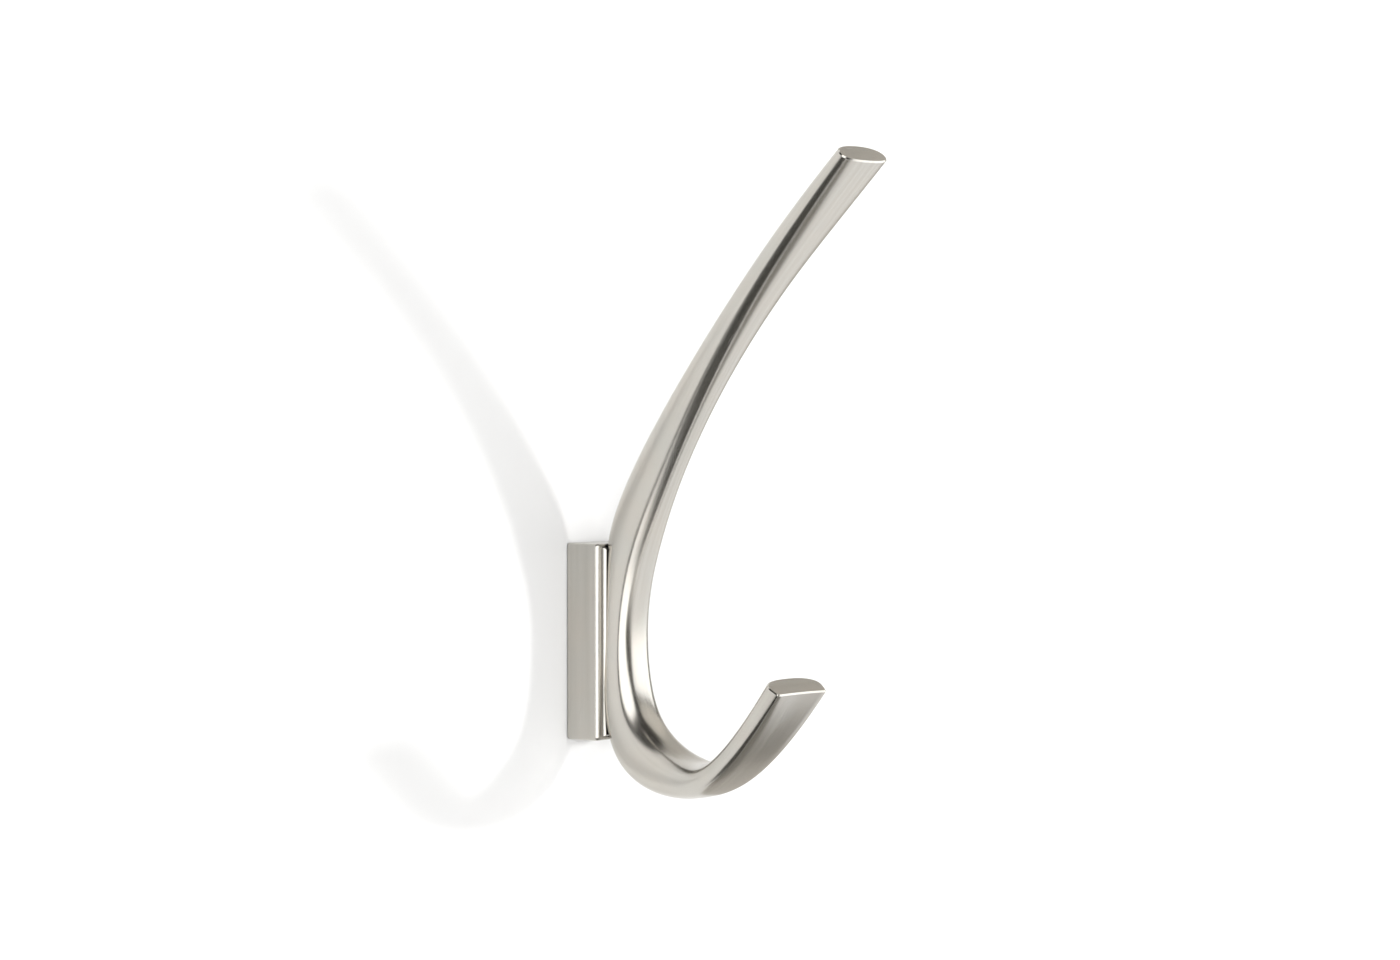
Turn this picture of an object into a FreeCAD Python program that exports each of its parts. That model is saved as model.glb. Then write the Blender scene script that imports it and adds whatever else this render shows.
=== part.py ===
import FreeCAD, Part
import math
import os

# Double coat and hat hook on a wall block, fixed from inside the block.
# Millimetres. The wall is the plane y = 0 and the room is towards -Y. +Z is up, and x = 0 is the plane of
# symmetry. The origin is the middle of the block's back, on the wall.

Vector = FreeCAD.Vector

# Bar: one casting. Each row is a station of the surface's control net, from the upper tip to the lower tip.
# reach and height place the station's middle. half_width is across the bar, and depth is in the plane of
# the J. split is the share of the depth that lies on the inside of the J's widest line. inner and outer say
# how square the section is on each side of that line, 2 being an ellipse. taper narrows the inside of the
# section, or widens it where it is negative.
STATIONS = (
    # reach, height, half_width, depth, split, inner, outer, taper
    (78.4, 111.4, 8.8, 5.3, 0.40, 2.7, 2.3, 0.00),
    (67.0, 100.0, 8.2, 6.6, 0.42, 2.6, 2.3, 0.00),
    (52.2, 84.6, 6.5, 6.5, 0.45, 2.6, 2.4, 0.03),
    (33.2, 60.2, 5.0, 8.3, 0.50, 2.8, 2.5, 0.06),
    (20.3, 39.6, 4.5, 11.2, 0.50, 3.1, 2.5, 0.08),
    (13.7, 24.8, 5.5, 11.9, 0.50, 3.4, 2.8, 0.08),
    (11.9, 13.8, 5.4, 8.5, 0.50, 3.6, 3.4, 0.08),
    (11.3, 1.2, 5.6, 6.0, 0.50, 3.6, 3.4, 0.08),
    (11.6, -14.6, 6.4, 8.7, 0.50, 3.4, 3.2, 0.06),
    (16.4, -26.4, 7.1, 13.9, 0.50, 2.8, 2.9, 0.02),
    (30.2, -32.6, 7.5, 10.5, 0.50, 2.5, 2.9, -0.02),
    (43.8, -31.0, 9.5, 6.0, 0.55, 2.4, 3.8, -0.05),
    (60.0, -8.5, 10.0, 5.8, 0.62, 2.4, 12.0, -0.06),
)
SECTION_POLES = 40
DEGREE = 3
LOWER_FACE_HOLLOW = 0.3
TIP_CHAMFER = 0.3

# Foot: a thin flat pad on the bar, where it stands on the block.
FOOT_WIDTH = 12.4
FOOT_HEIGHT = 44.0
FOOT_THICKNESS = 0.9
FOOT_ROUND = 0.7

# Block: a hollow casting, open towards the wall.
BLOCK_WIDTH = 16.0
BLOCK_HEIGHT = 46.0
BLOCK_DEPTH = 9.0
BLOCK_SIDE_ROUND = 1.0
BLOCK_END_ROUND = 0.8
BLOCK_SIDE_WALL = 1.6
BLOCK_FRONT_WALL = 2.0
BLOCK_INNER_CORNER = 0.8
BOSS_HEIGHT = 4.0

# Bracket: folded steel plate with a flange at the top and one at the bottom.
BRACKET_WIDTH = 12.2
BRACKET_SHEET = 1.5
BRACKET_BEND = 0.8
BRACKET_TOP = 21.2
BRACKET_BOTTOM = -18.5
FLANGE_REACH = 5.5
WALL_HOLE_SPACING = 26.0
WALL_HOLE_RADIUS = 2.25

# Screws: metric M4 throughout.
M4_RADIUS = 2.0
THREAD_CLEARANCE = 0.05
BAR_SCREW_SPACING = 11.0
BAR_SCREW_LENGTH = 6.0
BAR_HOLE_DEPTH = 3.6
CLEARANCE_HOLE_RADIUS = 2.25
SCREW_HEAD_RADIUS = 3.5
SCREW_HEAD_HEIGHT = 2.6
SCREW_HEAD_ROUND = 0.5
RECESS_LENGTH = 4.0
RECESS_WIDTH = 0.9
RECESS_DEPTH = 1.5
WASHER_RADIUS = 3.4
WASHER_THICKNESS = 0.9
WASHER_SPLIT = 0.7
GRUB_REACH = 3.8
GRUB_BODY = 3.3
GRUB_POINT = 1.7
GRUB_POINT_RADIUS = 0.3
GRUB_SOCKET_ACROSS_FLATS = 2.0
GRUB_SOCKET_DEPTH = 1.8
GRUB_SEAT_RADIUS = 1.5
GRUB_SEAT_GAP = 0.05


def lame(angle, power):
    """A point of the unit Lame curve: a circle at power 2 and nearly a square at high powers."""
    across = math.copysign(abs(math.cos(angle)) ** (2 / power), math.cos(angle))
    out = math.copysign(abs(math.sin(angle)) ** (2 / power), math.sin(angle))
    return across, out


def station_normals():
    """Unit vectors (reach, height) across the bar at each station, towards the inside of the J."""
    last = len(STATIONS) - 1
    normals = []
    for index in range(last + 1):
        before = STATIONS[max(index - 1, 0)]
        after = STATIONS[min(index + 1, last)]
        run = after[0] - before[0]
        rise = after[1] - before[1]
        length = math.hypot(run, rise)
        normals.append((-rise / length, run / length))
    return normals


def section_poles(station, normal, hollow):
    """Control points of one closed section, placed across the bar at its station."""
    reach, height, half_width, depth, split, inner, outer, taper = station
    widest = depth / 2 - depth * split
    poles = []
    for index in range(SECTION_POLES):
        angle = 2 * math.pi * index / SECTION_POLES
        power = inner if math.sin(angle) >= 0 else outer
        across, out = lame(angle, power)
        x = half_width * across * (1 - taper * out)
        dish = hollow * (1 - across ** 2) if out < 0 else 0
        share = split if out >= 0 else 1 - split
        n = widest + depth * share * out + dish
        poles.append(Vector(x, -(reach + normal[0] * n), height + normal[1] * n))
    return poles


def bar_skin():
    """The bar's surface: open along the bar and closed round it."""
    rows = []
    for station, normal in zip(STATIONS, station_normals()):
        hollow = LOWER_FACE_HOLLOW if station is STATIONS[-1] else 0
        rows.append(section_poles(station, normal, hollow))
    spans = len(STATIONS) - DEGREE
    along_mults = [DEGREE + 1] + [1] * (spans - 1) + [DEGREE + 1]
    along_knots = [index / spans for index in range(spans + 1)]
    round_mults = [1] * (SECTION_POLES + 1)
    round_knots = [index / SECTION_POLES for index in range(SECTION_POLES + 1)]
    skin = Part.BSplineSurface()
    skin.buildFromPolesMultsKnots(
        rows, along_mults, round_mults, along_knots, round_knots, False, True, DEGREE, DEGREE
    )
    return skin


def tip_ring(index, neighbour, hollow):
    """Closed curve round a tip's flat face: the end station shrunk by the chamfer and moved out by it."""
    reach, height, half_width, depth, *shape = STATIONS[index]
    away = Vector(0, STATIONS[neighbour][0] - reach, height - STATIONS[neighbour][1])
    away.normalize()
    small = (
        reach - away.y * TIP_CHAMFER,
        height + away.z * TIP_CHAMFER,
        half_width - TIP_CHAMFER,
        depth - 2 * TIP_CHAMFER,
        *shape,
    )
    poles = section_poles(small, station_normals()[index], hollow)
    mults = [1] * (SECTION_POLES + 1)
    knots = [number / SECTION_POLES for number in range(SECTION_POLES + 1)]
    ring = Part.BSplineCurve()
    ring.buildFromPolesMultsKnots(poles, mults, knots, True, DEGREE)
    return ring.toShape()


def capped(skin):
    """The solid inside a tube-like skin, with a chamfer and a flat face at each tip."""
    faces = [skin.toShape()]
    last = len(STATIONS) - 1
    tips = ((0, 0, 1, 0), (1, last, last - 1, LOWER_FACE_HOLLOW))
    for parameter, index, neighbour, hollow in tips:
        rim = skin.uIso(parameter).toShape()
        ring = tip_ring(index, neighbour, hollow)
        faces.append(Part.makeRuledSurface(rim, ring))
        faces.append(Part.Face(Part.Wire([ring])))
    shell = Part.makeShell(faces)
    shell.sewShape()
    solid = Part.Solid(shell)
    if solid.Volume < 0:
        solid.reverse()
    return solid


def cylinder_y(radius, near, far, z):
    """A cylinder along the y axis of the room side, from reach near to reach far."""
    return Part.makeCylinder(radius, far - near, Vector(0, -near, z), Vector(0, -1, 0))


def bar_screw_heights():
    return [side * BAR_SCREW_SPACING / 2 for side in (1, -1)]


def rounded_box(width, near, far, low, high, corner):
    """A block on x = 0 whose four edges along y are rounded."""
    box = Part.makeBox(width, far - near, high - low, Vector(-width / 2, -far, low))
    edges = [edge for edge in box.Edges if abs(edge.tangentAt(edge.FirstParameter).y) > 0.9]
    return box.makeFillet(corner, edges)


def foot():
    corner = Vector(-FOOT_WIDTH / 2, -BLOCK_DEPTH - FOOT_THICKNESS, -FOOT_HEIGHT / 2)
    pad = Part.makeBox(FOOT_WIDTH, FOOT_THICKNESS, FOOT_HEIGHT, corner)
    rim = [edge for edge in pad.Edges if abs(edge.CenterOfMass.y - corner.y) < 0.01]
    return pad.makeFillet(FOOT_ROUND, rim)


def hook_bar():
    bar = capped(bar_skin())
    behind = Part.makeBox(40, 40, 200, Vector(-20, -BLOCK_DEPTH, -100))
    bar = bar.cut(behind).fuse(foot())
    for z in bar_screw_heights():
        bar = bar.cut(cylinder_y(M4_RADIUS, BLOCK_DEPTH - 1, BLOCK_DEPTH + BAR_HOLE_DEPTH, z))
    return bar


def block_body():
    """The block's outside: its front edges and its top and bottom rims are rounded, its back is square."""
    half = BLOCK_HEIGHT / 2
    corner = Vector(-BLOCK_WIDTH / 2, -BLOCK_DEPTH, -half)
    body = Part.makeBox(BLOCK_WIDTH, BLOCK_DEPTH, BLOCK_HEIGHT, corner)
    front = [edge for edge in body.Edges if abs(edge.CenterOfMass.z) < 0.01 and edge.CenterOfMass.y < -1]
    body = body.makeFillet(BLOCK_SIDE_ROUND, front)
    rims = []
    for edge in body.Edges:
        middle = edge.CenterOfMass
        if abs(abs(middle.z) - half) < 0.01 and middle.y < -0.01:
            rims.append(edge)
    return body.makeFillet(BLOCK_END_ROUND, rims)


def mounting_block():
    half = BLOCK_HEIGHT / 2
    block = block_body()
    inner_width = BLOCK_WIDTH - 2 * BLOCK_SIDE_WALL
    inner_top = half - BLOCK_SIDE_WALL
    cavity_reach = BLOCK_DEPTH - BLOCK_FRONT_WALL
    block = block.cut(
        rounded_box(inner_width, -1, cavity_reach, -half + BOSS_HEIGHT, inner_top, BLOCK_INNER_CORNER)
    )
    for z in bar_screw_heights():
        block = block.cut(cylinder_y(CLEARANCE_HOLE_RADIUS, cavity_reach - 1, BLOCK_DEPTH + 1, z))
    grub_hole = Part.makeCylinder(M4_RADIUS, BOSS_HEIGHT + 2, Vector(0, -GRUB_REACH, -half - 1))
    return block.cut(grub_hole)


def bracket_profile():
    """Side outline of the folded plate, as points (reach, z) going round it."""
    return [
        (0, BRACKET_BOTTOM),
        (FLANGE_REACH, BRACKET_BOTTOM),
        (FLANGE_REACH, BRACKET_BOTTOM + BRACKET_SHEET),
        (BRACKET_SHEET, BRACKET_BOTTOM + BRACKET_SHEET),
        (BRACKET_SHEET, BRACKET_TOP - BRACKET_SHEET),
        (FLANGE_REACH, BRACKET_TOP - BRACKET_SHEET),
        (FLANGE_REACH, BRACKET_TOP),
        (0, BRACKET_TOP),
    ]


def edges_along_x_at(shape, reach, heights):
    """The edges along x that lie at one reach and at one of the heights."""
    found = []
    for edge in shape.Edges:
        middle = edge.CenterOfMass
        along_x = abs(edge.tangentAt(edge.FirstParameter).x) > 0.9
        at_reach = abs(middle.y + reach) < 0.01
        if along_x and at_reach and any(abs(middle.z - z) < 0.01 for z in heights):
            found.append(edge)
    return found


def wall_bracket():
    corners = [Vector(-BRACKET_WIDTH / 2, -reach, z) for reach, z in bracket_profile()]
    outline = Part.makePolygon(corners + corners[:1])
    plate = Part.Face(outline).extrude(Vector(BRACKET_WIDTH, 0, 0))
    outer = edges_along_x_at(plate, 0, (BRACKET_BOTTOM, BRACKET_TOP))
    plate = plate.makeFillet(BRACKET_BEND + BRACKET_SHEET, outer)
    inside_heights = (BRACKET_BOTTOM + BRACKET_SHEET, BRACKET_TOP - BRACKET_SHEET)
    inner = edges_along_x_at(plate, BRACKET_SHEET, inside_heights)
    plate = plate.makeFillet(BRACKET_BEND, inner)
    for side in (1, -1):
        z = side * WALL_HOLE_SPACING / 2
        plate = plate.cut(cylinder_y(WALL_HOLE_RADIUS, -1, BRACKET_SHEET + 1, z))
    seat = Part.makeCylinder(
        GRUB_SEAT_RADIUS, BRACKET_SHEET + 2, Vector(0, -GRUB_REACH, BRACKET_BOTTOM - 1)
    )
    return plate.cut(seat)


def bar_screw(z):
    """M4 pan-head screw with a cross recess, its head towards the wall."""
    under_head = BLOCK_DEPTH - BLOCK_FRONT_WALL - WASHER_THICKNESS
    head_back = under_head - SCREW_HEAD_HEIGHT
    head = cylinder_y(SCREW_HEAD_RADIUS, head_back, under_head, z)
    rim = [edge for edge in head.Edges if abs(edge.CenterOfMass.y + head_back) < 0.01]
    head = head.makeFillet(SCREW_HEAD_ROUND, rim)
    for width, height in ((RECESS_LENGTH, RECESS_WIDTH), (RECESS_WIDTH, RECESS_LENGTH)):
        corner = Vector(-width / 2, -(head_back + RECESS_DEPTH), z - height / 2)
        head = head.cut(Part.makeBox(width, RECESS_DEPTH + 1, height, corner))
    shank = cylinder_y(M4_RADIUS - THREAD_CLEARANCE, under_head, under_head + BAR_SCREW_LENGTH, z)
    return head.fuse(shank)


def bar_lock_washer(z):
    """Split spring washer between a screw's head and the block's front wall."""
    far = BLOCK_DEPTH - BLOCK_FRONT_WALL
    near = far - WASHER_THICKNESS
    ring = cylinder_y(WASHER_RADIUS, near, far, z)
    ring = ring.cut(cylinder_y(CLEARANCE_HOLE_RADIUS, near - 1, far + 1, z))
    corner = Vector(0, -far - 1, z - WASHER_SPLIT / 2)
    return ring.cut(Part.makeBox(WASHER_RADIUS + 1, WASHER_THICKNESS + 2, WASHER_SPLIT, corner))


def grub_screw():
    """M4 set screw with a hexagon socket below and a cone point that seats in the bracket's flange."""
    body_radius = M4_RADIUS - THREAD_CLEARANCE
    point_base = BRACKET_BOTTOM - GRUB_SEAT_GAP - (body_radius - GRUB_SEAT_RADIUS)
    low = point_base - GRUB_BODY
    axis_foot = Vector(0, -GRUB_REACH, low)
    body = Part.makeCylinder(body_radius, GRUB_BODY, axis_foot)
    point = Part.makeCone(body_radius, GRUB_POINT_RADIUS, GRUB_POINT, Vector(0, -GRUB_REACH, point_base))
    corner_radius = GRUB_SOCKET_ACROSS_FLATS / 2 / math.cos(math.pi / 6)
    corners = []
    for index in range(6):
        angle = math.pi / 3 * index
        corners.append(axis_foot + Vector(corner_radius * math.cos(angle), corner_radius * math.sin(angle), 0))
    hexagon = Part.Face(Part.makePolygon(corners + corners[:1]))
    socket = hexagon.extrude(Vector(0, 0, GRUB_SOCKET_DEPTH))
    return body.fuse(point).cut(socket)


def export(name, shape):
    """Writes one STEP file per node and prints how many solids it has, their volume and whether they are valid."""
    shape.exportStep(os.path.join("parts", name + ".step"))
    print(name, len(shape.Solids), round(shape.Volume, 1), shape.isValid())


def main():
    os.makedirs("parts", exist_ok=True)
    export("hook_bar", hook_bar())
    export("mounting_block", mounting_block())
    export("wall_bracket", wall_bracket())
    export("bar_screws", Part.makeCompound([bar_screw(z) for z in bar_screw_heights()]))
    export("bar_lock_washers", Part.makeCompound([bar_lock_washer(z) for z in bar_screw_heights()]))
    export("grub_screw", grub_screw())


main()
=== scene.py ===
import math

import bmesh
import bpy
import numpy as np
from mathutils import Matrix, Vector


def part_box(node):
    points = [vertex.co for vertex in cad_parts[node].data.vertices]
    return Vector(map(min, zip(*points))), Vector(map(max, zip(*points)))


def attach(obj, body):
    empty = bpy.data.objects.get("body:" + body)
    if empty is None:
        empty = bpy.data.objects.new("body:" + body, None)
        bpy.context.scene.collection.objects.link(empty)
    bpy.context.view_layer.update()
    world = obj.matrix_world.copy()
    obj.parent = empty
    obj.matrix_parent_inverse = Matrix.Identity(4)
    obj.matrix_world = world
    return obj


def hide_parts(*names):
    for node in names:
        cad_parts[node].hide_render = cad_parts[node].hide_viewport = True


# Double coat and hat hook in satin nickel, on a pale wall. Metres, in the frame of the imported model: the wall
# is y = 0, the room is towards -Y, +Z is up and x = 0 is the plane of symmetry.

MM = 0.001

# Control net of the bar's surface, in millimetres, from the upper tip to the lower tip. reach and height
# place a station's middle. half_width is across the bar, and depth is in the plane of the J. split is the
# share of the depth that lies on the inside of the J's widest line. inner and outer say how square the
# section is on each side of that line, 2 being an ellipse. taper narrows the inside of the section, or
# widens it where it is negative.
STATIONS = (
    # reach, height, half_width, depth, split, inner, outer, taper
    (78.4, 111.4, 8.8, 5.3, 0.40, 2.7, 2.3, 0.00),
    (67.0, 100.0, 8.2, 6.6, 0.42, 2.6, 2.3, 0.00),
    (52.2, 84.6, 6.5, 6.5, 0.45, 2.6, 2.4, 0.03),
    (33.2, 60.2, 5.0, 8.3, 0.50, 2.8, 2.5, 0.06),
    (20.3, 39.6, 4.5, 11.2, 0.50, 3.1, 2.5, 0.08),
    (13.7, 24.8, 5.5, 11.9, 0.50, 3.4, 2.8, 0.08),
    (11.9, 13.8, 5.4, 8.5, 0.50, 3.6, 3.4, 0.08),
    (11.3, 1.2, 5.6, 6.0, 0.50, 3.6, 3.4, 0.08),
    (11.6, -14.6, 6.4, 8.7, 0.50, 3.4, 3.2, 0.06),
    (16.4, -26.4, 7.1, 13.9, 0.50, 2.8, 2.9, 0.02),
    (30.2, -32.6, 7.5, 10.5, 0.50, 2.5, 2.9, -0.02),
    (43.8, -31.0, 9.5, 6.0, 0.55, 2.4, 3.8, -0.05),
    (60.0, -8.5, 10.0, 5.8, 0.62, 2.4, 12.0, -0.06),
)
SECTION_POLES = 40
DEGREE = 3
LOWER_FACE_HOLLOW = 0.3
TIP_CHAMFER = 0.3
STEPS_ALONG = 420
STEPS_ROUND = 160
SHARP_ANGLE = math.radians(28)
JUST_BELOW_ONE = 1 - 1e-9

# Foot of the bar
FOOT_WIDTH = 12.4 * MM
FOOT_HEIGHT = 44.0 * MM
FOOT_THICKNESS = 0.9 * MM
FOOT_ROUND = 0.7 * MM
FOOT_ROUND_STEPS = 8
SAME_PLACE = 1e-6

# Camera
VIEW_AZIMUTH = -52.5
VIEW_ELEVATION = 1.3
VIEW_DISTANCE = 0.966
VIEW_TARGET = Vector((0.0, -0.033, 0.038))
LENS = 107.8
SENSOR = 36.0

# Room. The wall stands just behind the object's back, and laps a little over the edge of the block's back.
FLOOR_HEIGHT = -0.6
FLOOR_FRONT = -3.0
FLOOR_BACK = 1.5
WALL_TOP = 1.4
ROOM_HALF_WIDTH = 2.0
WALL_GAP = 0.0002
WALL_OVERLAP = 0.0003
WALL_PAINT = (0.81, 0.81, 0.81)
FLOOR_PAINT = (0.78, 0.78, 0.77)
ROOM_TINT = (1.0, 0.95, 0.88)
ROOM_GLOW = 0.06
BACKDROP = (0.8, 0.8, 0.8)

# Studio panels and lamps
WARM = (1.0, 0.96, 0.89)
PANEL_NEAR_WALL = -0.004
PANEL_BEHIND = 1.3
LAMP_AIM = (0, -0.03, 0.04)

# Colours of the finishes. The lists give a colour at each position of a 0 to 1 noise.
NICKEL_STREAKS = ((0.3, (0.47, 0.45, 0.41)), (0.5, (0.53, 0.509, 0.467)), (0.7, (0.58, 0.558, 0.515)))
NICKEL_CLOUDS = ((0.35, (0.54, 0.506, 0.458)), (0.65, (0.52, 0.509, 0.475)))
NICKEL_EDGES = (0.68, 0.66, 0.62)
# Painted shade: a dark colour laid into joints and crevices in place of the shade that falls there.
PAINTED_SHADE_IN_JOINTS = (0.05, 0.045, 0.04)
ZINC_CLOUDS = ((0.3, (0.60, 0.63, 0.68)), (0.5, (0.66, 0.67, 0.68)), (0.72, (0.69, 0.66, 0.56)))
ZINC_EDGES = (0.78, 0.78, 0.77)
OXIDE_CLOUDS = ((0.3, (0.035, 0.036, 0.04)), (0.7, (0.075, 0.068, 0.06)))
OXIDE_EDGES = (0.24, 0.235, 0.23)

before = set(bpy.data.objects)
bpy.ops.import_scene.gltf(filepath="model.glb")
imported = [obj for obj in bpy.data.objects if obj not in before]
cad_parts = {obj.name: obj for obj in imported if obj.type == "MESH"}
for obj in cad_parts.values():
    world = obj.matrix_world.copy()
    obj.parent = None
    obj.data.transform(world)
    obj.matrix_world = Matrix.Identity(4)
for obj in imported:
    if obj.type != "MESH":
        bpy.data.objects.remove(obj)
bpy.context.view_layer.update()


# ---------------------------------------------------------------- geometry of the bar

def lame(angle, power):
    """A point of the unit Lame curve: a circle at power 2 and nearly a square at high powers."""
    across = math.copysign(abs(math.cos(angle)) ** (2 / power), math.cos(angle))
    out = math.copysign(abs(math.sin(angle)) ** (2 / power), math.sin(angle))
    return across, out


def station_directions():
    """Unit vectors (reach, height) along the bar at each station."""
    last = len(STATIONS) - 1
    directions = []
    for index in range(last + 1):
        before = STATIONS[max(index - 1, 0)]
        after = STATIONS[min(index + 1, last)]
        run = after[0] - before[0]
        rise = after[1] - before[1]
        length = math.hypot(run, rise)
        directions.append((run / length, rise / length))
    return directions


def section_poles(station, direction, hollow):
    """Control points of one closed section, in metres."""
    reach, height, half_width, depth, split, inner, outer, taper = station
    widest = depth / 2 - depth * split
    poles = []
    for index in range(SECTION_POLES):
        angle = 2 * math.pi * index / SECTION_POLES
        power = inner if math.sin(angle) >= 0 else outer
        across, out = lame(angle, power)
        x = half_width * across * (1 - taper * out)
        dish = hollow * (1 - across ** 2) if out < 0 else 0
        share = split if out >= 0 else 1 - split
        n = widest + depth * share * out + dish
        poles.append((x, -(reach - direction[1] * n), height + direction[0] * n))
    return np.array(poles) * MM


def basis(knots, degree, values):
    """B-spline basis: one row per value and one column per control point."""
    values = np.asarray(values, float)[:, None]
    low, high = knots[:-1], knots[1:]
    table = ((values >= low) & (values < high)).astype(float)
    for order in range(1, degree + 1):
        count = len(knots) - 1 - order
        starts = knots[:count]
        ends = knots[order + 1:order + 1 + count]
        left_span = knots[order:order + count] - starts
        right_span = ends - knots[1:1 + count]
        blank = np.zeros((len(values), count))
        left = np.divide(values - starts, left_span, out=blank.copy(), where=left_span > 0)
        right = np.divide(ends - values, right_span, out=blank.copy(), where=right_span > 0)
        table = left * table[:, :count] + right * table[:, 1:1 + count]
    return table


def along_basis(values):
    """Rows for points along the bar, 0 at the upper tip and 1 at the lower tip."""
    spans = len(STATIONS) - DEGREE
    inside = np.arange(1, spans) / spans
    knots = np.concatenate([np.zeros(DEGREE + 1), inside, np.ones(DEGREE + 1)])
    return basis(knots, DEGREE, np.minimum(values, JUST_BELOW_ONE))


def round_basis(count):
    """Rows for points evenly spaced round the closed section."""
    knots = np.arange(-DEGREE, SECTION_POLES + DEGREE + 1) / SECTION_POLES
    table = basis(knots, DEGREE, np.arange(count) / count)
    wrapped = table[:, :SECTION_POLES].copy()
    wrapped[:, :DEGREE] += table[:, SECTION_POLES:SECTION_POLES + DEGREE]
    return wrapped


def bar_grid():
    """Points of the bar's skin, one row per step along it, with a chamfer row and a face row at each tip."""
    directions = station_directions()
    last = len(STATIONS) - 1
    rows = []
    for index, station in enumerate(STATIONS):
        hollow = LOWER_FACE_HOLLOW if index == last else 0
        rows.append(section_poles(station, directions[index], hollow))
    rounds = round_basis(STEPS_ROUND)
    alongs = along_basis(np.linspace(0, 1, STEPS_ALONG))
    skin = np.einsum("ui,ijk,vj->uvk", alongs, np.array(rows), rounds)
    rings = []
    for index, sign in ((0, -1), (last, 1)):
        reach, height, half_width, depth, *shape = STATIONS[index]
        run, rise = directions[index]
        small = (
            reach + sign * run * TIP_CHAMFER,
            height + sign * rise * TIP_CHAMFER,
            half_width - TIP_CHAMFER,
            depth - 2 * TIP_CHAMFER,
            *shape,
        )
        hollow = LOWER_FACE_HOLLOW if index == last else 0
        rings.append(rounds @ section_poles(small, directions[index], hollow))
    return skin, rings


def link(name, mesh):
    obj = bpy.data.objects.new(name, mesh)
    bpy.context.scene.collection.objects.link(obj)
    return obj


def make_bar():
    """The bar's skin, cut off flat where it meets the block. The UV layer runs along the grain."""
    skin, (top_ring, low_ring) = bar_grid()
    rows = np.concatenate([top_ring[None], skin, low_ring[None]])
    count, around = rows.shape[:2]
    bm = bmesh.new()
    verts = [[bm.verts.new(point) for point in row] for row in rows]
    uv = bm.loops.layers.uv.new("grain")
    steps = np.linalg.norm(np.diff(rows.mean(1), axis=0), axis=1)
    length = np.concatenate([[0], np.cumsum(steps)])
    turn = np.linalg.norm(np.roll(rows, -1, axis=1) - rows, axis=2).mean(0)
    girth = np.concatenate([[0], np.cumsum(turn)])
    for i in range(count - 1):
        for j in range(around):
            k = (j + 1) % around
            face = bm.faces.new((verts[i][j], verts[i][k], verts[i + 1][k], verts[i + 1][j]))
            face.smooth = True
            corners = ((i, j), (i, j + 1), (i + 1, j + 1), (i + 1, j))
            for loop, (a, b) in zip(face.loops, corners):
                loop[uv].uv = (length[a], girth[b])
    caps = [bm.faces.new(verts[0][::-1]), bm.faces.new(verts[-1])]
    for cap in caps:
        for loop in cap.loops:
            loop[uv].uv = (loop.vert.co.x, loop.vert.co.z)
    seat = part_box("mounting_block")[0].y
    everything = bm.verts[:] + bm.edges[:] + bm.faces[:]
    cut = bmesh.ops.bisect_plane(
        bm, geom=everything, plane_co=(0, seat, 0), plane_no=(0, 1, 0), clear_outer=True
    )
    rim = [item for item in cut["geom_cut"] if isinstance(item, bmesh.types.BMEdge)]
    bmesh.ops.holes_fill(bm, edges=rim, sides=0)
    bmesh.ops.recalc_face_normals(bm, faces=bm.faces[:])
    mesh = bpy.data.meshes.new("hook_bar_skin")
    bm.to_mesh(mesh)
    bm.free()
    mesh.set_sharp_from_angle(angle=SHARP_ANGLE)
    return link("hook_bar_skin", mesh)


def make_foot():
    """The flat pad between the bar and the block, with its front edges rounded."""
    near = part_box("mounting_block")[0].y
    far = near - FOOT_THICKNESS
    half = FOOT_WIDTH / 2
    bm = bmesh.new()
    outline = [(-half, near), (-half, far), (half, far), (half, near)]
    lower = [bm.verts.new((x, y, -FOOT_HEIGHT / 2)) for x, y in outline]
    upper = [bm.verts.new((x, y, FOOT_HEIGHT / 2)) for x, y in outline]
    bm.faces.new(lower)
    bm.faces.new(upper[::-1])
    for index in range(4):
        following = (index + 1) % 4
        bm.faces.new((lower[index], upper[index], upper[following], lower[following]))
    rim = [edge for edge in bm.edges if all(abs(vert.co.y - far) < SAME_PLACE for vert in edge.verts)]
    bmesh.ops.bevel(
        bm, geom=rim, offset=FOOT_ROUND, segments=FOOT_ROUND_STEPS, profile=0.5, affect="EDGES"
    )
    bmesh.ops.recalc_face_normals(bm, faces=bm.faces[:])
    for face in bm.faces:
        face.smooth = True
    mesh = bpy.data.meshes.new("hook_bar_foot")
    bm.to_mesh(mesh)
    bm.free()
    mesh.set_sharp_from_angle(angle=SHARP_ANGLE)
    return link("hook_bar_foot", mesh)


# ---------------------------------------------------------------- materials

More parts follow.
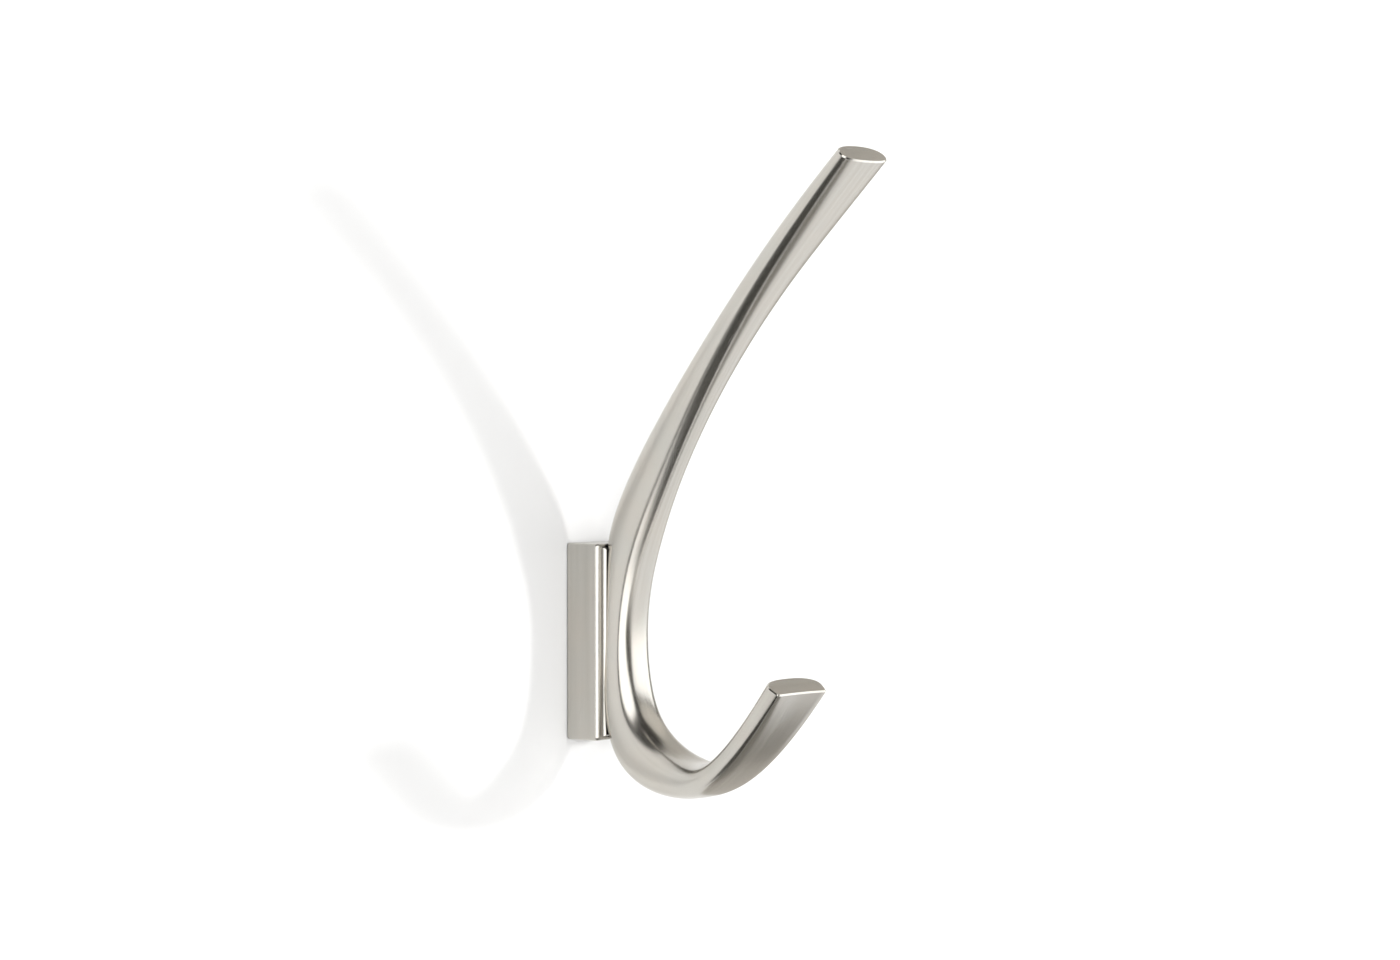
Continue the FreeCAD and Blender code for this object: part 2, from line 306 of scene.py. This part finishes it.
class Nodes:
    """A material's node tree, with short calls for the nodes that the finishes share."""

    def __init__(self, name):
        self.material = bpy.data.materials.new(name)
        self.material.use_nodes = True
        self.tree = self.material.node_tree
        self.shader = self.tree.nodes["Principled BSDF"]

    def add(self, kind, **settings):
        node = self.tree.nodes.new(kind)
        for key, value in settings.items():
            setattr(node, key, value)
        return node

    def link(self, source, target):
        self.tree.links.new(source, target)

    def place(self, uv, scale):
        """Surface coordinates in metres, from a UV layer or from the object, multiplied by a scale."""
        if uv:
            source = self.add("ShaderNodeUVMap", uv_map=uv).outputs["UV"]
        else:
            source = self.add("ShaderNodeTexCoord").outputs["Object"]
        mapping = self.add("ShaderNodeMapping")
        mapping.inputs["Scale"].default_value = scale
        self.link(source, mapping.inputs["Vector"])
        return mapping.outputs["Vector"]

    def noise(self, place, scale=1.0, detail=3.0, roughness=0.5):
        node = self.add("ShaderNodeTexNoise")
        node.inputs["Scale"].default_value = scale
        node.inputs["Detail"].default_value = detail
        node.inputs["Roughness"].default_value = roughness
        self.link(place, node.inputs["Vector"])
        return node.outputs["Fac"]

    def ramp(self, source, stops):
        """Colours, or grey values, set at positions from 0 to 1."""
        node = self.add("ShaderNodeValToRGB")
        elements = node.color_ramp.elements
        while len(elements) < len(stops):
            elements.new(0.5)
        for element, (position, value) in zip(elements, stops):
            element.position = position
            element.color = (*value, 1) if isinstance(value, tuple) else (value, value, value, 1)
        self.link(source, node.inputs["Fac"])
        return node.outputs["Color"]

    def span(self, source, low, high):
        """A 0 to 1 value stretched to another range."""
        node = self.add("ShaderNodeMapRange")
        node.inputs["To Min"].default_value = low
        node.inputs["To Max"].default_value = high
        self.link(source, node.inputs["Value"])
        return node.outputs["Result"]

    def sum(self, first, second, operation="ADD"):
        node = self.add("ShaderNodeMath", operation=operation)
        for source, socket in ((first, node.inputs[0]), (second, node.inputs[1])):
            if isinstance(source, float):
                socket.default_value = source
            else:
                self.link(source, socket)
        return node.outputs[0]

    def mix(self, factor, first, second):
        node = self.add("ShaderNodeMix", data_type="RGBA")
        sockets = (node.inputs["Factor"], node.inputs[6], node.inputs[7])
        for source, socket in zip((factor, first, second), sockets):
            if isinstance(source, tuple):
                socket.default_value = (*source, 1)
            else:
                self.link(source, socket)
        return node.outputs[2]

    def edges(self, radius, low, high):
        """1 along rounded and sharp edges and 0 on open faces."""
        bevel = self.add("ShaderNodeBevel", samples=6)
        bevel.inputs["Radius"].default_value = radius
        flat = self.add("ShaderNodeNewGeometry")
        dot = self.add("ShaderNodeVectorMath", operation="DOT_PRODUCT")
        self.link(bevel.outputs["Normal"], dot.inputs[0])
        self.link(flat.outputs["Normal"], dot.inputs[1])
        node = self.add("ShaderNodeMapRange")
        node.inputs["From Min"].default_value = high
        node.inputs["From Max"].default_value = low
        self.link(dot.outputs["Value"], node.inputs["Value"])
        return node.outputs["Result"]

    def painted_joint_shade(self, reach):
        """Mask for painted shade: 1 in the bottom of a joint between two faces, where ambient occlusion finds
        the surface shut in, and 0 where it is open.
        """
        shade = self.add("ShaderNodeAmbientOcclusion", samples=8)
        shade.inputs["Distance"].default_value = reach
        return self.ramp(shade.outputs["AO"], ((0.5, 1.0), (0.85, 0.0)))

    def bump(self, heights):
        """Normal from (height, distance in metres, strength) layers, one on top of another."""
        normal = None
        for height, distance, strength in heights:
            node = self.add("ShaderNodeBump")
            node.inputs["Strength"].default_value = strength
            node.inputs["Distance"].default_value = distance
            self.link(height, node.inputs["Height"])
            if normal:
                self.link(normal, node.inputs["Normal"])
            normal = node.outputs["Normal"]
        self.link(normal, self.shader.inputs["Normal"])

    def set(self, **sockets):
        for name, value in sockets.items():
            self.shader.inputs[name.replace("_", " ")].default_value = value


def satin_nickel(name, uv, along):
    """Nickel plate with a fine grain. along gives the coordinates' stretch: small along the grain."""
    nodes = Nodes(name)
    lines = nodes.noise(nodes.place(uv, [9000 * s for s in along]), detail=2.0)
    streaks = nodes.noise(nodes.place(uv, [900 * s for s in along]), detail=3.0)
    clouds = nodes.noise(nodes.place(None, (90, 90, 90)), detail=3.0)
    grains = nodes.noise(nodes.place(None, (5200, 5200, 5200)), detail=1.0)
    tone = nodes.ramp(streaks, NICKEL_STREAKS)
    warm = nodes.ramp(clouds, NICKEL_CLOUDS)
    plate = nodes.mix(nodes.span(lines, 0.3, 0.7), tone, warm)
    worn = nodes.mix(nodes.edges(0.4 * MM, 0.9, 0.995), plate, NICKEL_EDGES)
    # Painted shade: the colour is darkened in the joints between faces, and along the block's edges by the
    # wall, as shade would darken them.
    colour = nodes.mix(nodes.painted_joint_shade(0.9 * MM), worn, PAINTED_SHADE_IN_JOINTS)
    nodes.link(colour, nodes.shader.inputs["Base Color"])
    rough = nodes.sum(nodes.span(streaks, 0.18, 0.27), nodes.span(lines, -0.03, 0.05))
    rough = nodes.sum(rough, nodes.span(clouds, -0.02, 0.03))
    nodes.link(rough, nodes.shader.inputs["Roughness"])
    nodes.bump(((lines, 0.006 * MM, 0.4), (streaks, 0.014 * MM, 0.25), (grains, 0.004 * MM, 0.3)))
    nodes.set(Metallic=1.0, Anisotropic=0.3)
    if uv:
        tangent = nodes.add("ShaderNodeTangent", direction_type="UV_MAP", uv_map=uv)
    else:
        tangent = nodes.add("ShaderNodeTangent", direction_type="RADIAL", axis="Z")
    nodes.link(tangent.outputs["Tangent"], nodes.shader.inputs["Tangent"])
    return nodes.material


def zinc_plate(name, spangle):
    """Bright zinc with a faint blue and yellow passivation and worn edges."""
    nodes = Nodes(name)
    clouds = nodes.noise(nodes.place(None, (spangle, spangle, spangle)), detail=4.0)
    fine = nodes.noise(nodes.place(None, (4000, 4000, 4000)), detail=2.0)
    tint = nodes.ramp(clouds, ZINC_CLOUDS)
    worn = nodes.edges(0.25 * MM, 0.9, 0.99)
    nodes.link(nodes.mix(worn, tint, ZINC_EDGES), nodes.shader.inputs["Base Color"])
    rough = nodes.sum(nodes.span(clouds, 0.2, 0.42), nodes.span(fine, -0.04, 0.06))
    nodes.link(rough, nodes.shader.inputs["Roughness"])
    nodes.bump(((clouds, 0.03 * MM, 0.15), (fine, 0.004 * MM, 0.3)))
    nodes.set(Metallic=1.0)
    return nodes.material


def black_oxide():
    """Blackened steel, slightly oiled, with bare metal showing on its edges."""
    nodes = Nodes("black_oxide")
    clouds = nodes.noise(nodes.place(None, (900, 900, 900)), detail=4.0)
    fine = nodes.noise(nodes.place(None, (6000, 6000, 6000)), detail=2.0)
    tint = nodes.ramp(clouds, OXIDE_CLOUDS)
    worn = nodes.edges(0.2 * MM, 0.85, 0.98)
    nodes.link(nodes.mix(worn, tint, OXIDE_EDGES), nodes.shader.inputs["Base Color"])
    rough = nodes.sum(nodes.span(clouds, 0.32, 0.5), nodes.span(fine, -0.05, 0.06))
    nodes.link(rough, nodes.shader.inputs["Roughness"])
    nodes.bump(((fine, 0.006 * MM, 0.35),))
    nodes.set(Metallic=0.9)
    return nodes.material


def paint(name, colour):
    """Matt wall paint: a faint mottle and a fine orange peel."""
    nodes = Nodes(name)
    clouds = nodes.noise(nodes.place(None, (6, 6, 6)), detail=3.0)
    peel = nodes.noise(nodes.place(None, (500, 500, 500)), detail=2.0)
    darker = tuple(0.99 * part for part in colour)
    nodes.link(nodes.mix(clouds, colour, darker), nodes.shader.inputs["Base Color"])
    nodes.bump(((peel, 0.1 * MM, 0.04),))
    nodes.set(Roughness=0.9)
    return nodes


# ---------------------------------------------------------------- stage, lights and camera

def make_plane(name, corners, material):
    """A flat part of the studio, which isn't part of the object."""
    mesh = bpy.data.meshes.new(name)
    mesh.from_pydata(corners, [], [tuple(range(len(corners)))])
    mesh.materials.append(material)
    plane = link(name, mesh)
    return plane


def upright(y, left, right, bottom, top):
    """Corners of a rectangle parallel to the wall."""
    return [(left, y, bottom), (right, y, bottom), (right, y, top), (left, y, top)]


def make_wall():
    """The wall, open behind the block so that the inside can be seen from the back.

    It shows only from the room."""
    nodes = paint("wall_paint", WALL_PAINT)
    clear = nodes.add("ShaderNodeBsdfTransparent")
    geometry = nodes.add("ShaderNodeNewGeometry")
    mix = nodes.add("ShaderNodeMixShader")
    nodes.link(geometry.outputs["Backfacing"], mix.inputs["Fac"])
    nodes.link(nodes.shader.outputs["BSDF"], mix.inputs[1])
    nodes.link(clear.outputs["BSDF"], mix.inputs[2])
    nodes.link(mix.outputs["Shader"], nodes.tree.nodes["Material Output"].inputs["Surface"])
    low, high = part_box("mounting_block")
    left, right = low.x + WALL_OVERLAP, high.x - WALL_OVERLAP
    bottom, top = low.z + WALL_OVERLAP, high.z - WALL_OVERLAP
    parts = (
        ("wall_left", -ROOM_HALF_WIDTH, left, FLOOR_HEIGHT, WALL_TOP),
        ("wall_right", right, ROOM_HALF_WIDTH, FLOOR_HEIGHT, WALL_TOP),
        ("wall_below", left, right, FLOOR_HEIGHT, bottom),
        ("wall_above", left, right, top, WALL_TOP),
    )
    for name, *sides in parts:
        make_plane(name, upright(WALL_GAP, *sides), nodes.material)


def make_floor():
    half, low = ROOM_HALF_WIDTH, FLOOR_HEIGHT
    front = [(-half, FLOOR_FRONT, low), (half, FLOOR_FRONT, low)]
    corners = front + [(half, FLOOR_BACK, low), (-half, FLOOR_BACK, low)]
    make_plane("floor", corners, paint("floor_paint", FLOOR_PAINT).material)


def direction(azimuth, elevation):
    """Unit vector from the object, from degrees.

    Azimuth 0 is straight out from the wall, and positive is to the right."""
    turn, rise = math.radians(azimuth), math.radians(elevation)
    return Vector((math.sin(turn) * math.cos(rise), -math.cos(turn) * math.cos(rise), math.sin(rise)))


def around(distance, corners):
    """Corners of a flat panel that faces the object, from (azimuth, elevation) as seen from the object."""
    rays = [direction(*corner) for corner in corners]
    middle = sum(rays, Vector()).normalized()
    return [VIEW_TARGET + ray * (distance / ray.dot(middle)) for ray in rays]


def make_card(name, points, radiance, colour=(1.0, 1.0, 1.0)):
    """A flat studio panel that shows only in the metal."""
    nodes = Nodes(name)
    glow = nodes.add("ShaderNodeEmission")
    glow.inputs["Color"].default_value = (*colour, 1)
    glow.inputs["Strength"].default_value = radiance
    nodes.link(glow.outputs["Emission"], nodes.tree.nodes["Material Output"].inputs["Surface"])
    card = make_plane(name, points, nodes.material)
    card.visible_camera = False
    card.visible_diffuse = False
    card.visible_shadow = False


def make_cards():
    """Softboxes for the highlights, and dim flags and shades for the dark bands between them."""
    front = (
        (-80, -20), (-86, -4), (-72, 18), (-52, 35), (10, 37), (20, 28),
        (23, 14), (11, 4), (-5, -8), (-10, -26), (-60, -23),
    )
    key = ((41, -7), (80, -10), (80, 16), (41, 12))
    low = ((34, -9), (97, -9), (97, -37), (30, -37))
    upper = ((48, 18), (93, 18), (93, 42), (48, 36))
    flag = (
        (-150, -38), (-95, -30), (-60, -29), (-8, -31),
        (14, -38), (26, -60), (40, -80), (-130, -70),
    )
    shade = ((34, -32), (115, -32), (115, -82), (34, -82))
    left = [(-0.5, 0.1, -0.4), (-0.5, -0.1, -0.4), (-0.5, -0.1, 0.4), (-0.5, 0.1, 0.4)]
    make_card("front_softbox", around(1.3, front), 2.4)
    make_card("key_softbox", around(1.0, key), 2.3)
    make_card("low_card", around(0.42, low), 1.2)
    make_card("upper_card", around(0.8, upper), 0.95, WARM)
    make_card("low_flag", around(0.4, flag), 0.07, WARM)
    make_card("low_shade", around(0.55, shade), 0.28, WARM)
    make_card("left_flag", left, 0.07, WARM)
    make_card("back_card_high", upright(PANEL_BEHIND, -1.5, 1.5, -0.2, 1.3), 1.0)
    make_card("back_card_low", upright(PANEL_BEHIND, -1.5, 1.5, -1.3, -0.2), 0.6, WARM)
    make_card("wall_shade", upright(PANEL_NEAR_WALL, 0.05, 1.2, -0.5, 0.7), 0.62, WARM)


def area_light(name, place, width, height, power, aim=LAMP_AIM):
    """A soft lamp for the wall and the floor. The metal shows the studio panels instead."""
    data = bpy.data.lights.new(name, "AREA")
    data.shape = "RECTANGLE"
    data.size = width
    data.size_y = height
    data.energy = power
    light = bpy.data.objects.new(name, data)
    light.location = place
    light.rotation_euler = (Vector(aim) - Vector(place)).to_track_quat("-Z", "Y").to_euler()
    light.visible_glossy = False
    bpy.context.scene.collection.objects.link(light)


def make_lights():
    """shadow_light casts the shadow on the wall, and the others fill in the room."""
    area_light("side_light", (1.6, -0.9, 0.06), 1.2, 0.8, 9)
    area_light("shadow_light", (1.44, -1.28, 0.22), 0.16, 0.16, 17)
    area_light("front_light", (-2.4, -1.84, 0.12), 1.6, 1.2, 54)
    area_light("floor_light", (0, -2.3, 2.0), 2.5, 1.5, 60, aim=(0, -2.3, 0))


def make_world():
    """A dim warm room. Past the wall and the floor the camera sees a pale backdrop."""
    world = bpy.data.worlds.new("studio")
    world.use_nodes = True
    tree = world.node_tree
    room = tree.nodes["Background"]
    room.inputs["Color"].default_value = (*ROOM_TINT, 1)
    room.inputs["Strength"].default_value = ROOM_GLOW
    backdrop = tree.nodes.new("ShaderNodeBackground")
    backdrop.inputs["Color"].default_value = (*BACKDROP, 1)
    path = tree.nodes.new("ShaderNodeLightPath")
    mix = tree.nodes.new("ShaderNodeMixShader")
    tree.links.new(path.outputs["Is Camera Ray"], mix.inputs["Fac"])
    tree.links.new(room.outputs["Background"], mix.inputs[1])
    tree.links.new(backdrop.outputs["Background"], mix.inputs[2])
    tree.links.new(mix.outputs["Shader"], tree.nodes["World Output"].inputs["Surface"])
    bpy.context.scene.world = world


def make_camera():
    data = bpy.data.cameras.new("camera")
    data.lens = LENS
    data.sensor_width = SENSOR
    camera = bpy.data.objects.new("camera", data)
    back = direction(VIEW_AZIMUTH, VIEW_ELEVATION)
    camera.location = VIEW_TARGET + back * VIEW_DISTANCE
    camera.rotation_euler = (-back).to_track_quat("-Z", "Y").to_euler()
    bpy.context.scene.collection.objects.link(camera)
    bpy.context.scene.camera = camera


# ---------------------------------------------------------------- build

block_finish = satin_nickel("satin_nickel_block", None, (1.0, 1.0, 0.02))
bar = make_bar()
bar.data.materials.append(satin_nickel("satin_nickel_bar", "grain", (0.02, 1.0, 1.0)))
foot = make_foot()
foot.data.materials.append(block_finish)
for piece in (bar, foot):
    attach(piece, "root")
    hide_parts("hook_bar")

finishes = {
    "mounting_block": block_finish,
    "wall_bracket": zinc_plate("zinc_plate_sheet", 260),
    "bar_screws": zinc_plate("zinc_plate_screws", 700),
    "bar_lock_washers": zinc_plate("zinc_plate_washers", 900),
    "grub_screw": black_oxide(),
}
for node, finish in finishes.items():
    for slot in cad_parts[node].material_slots:
        slot.material = finish

make_wall()
make_floor()
make_cards()
make_lights()
make_world()
make_camera()
bpy.context.scene.view_settings.view_transform = "Standard"
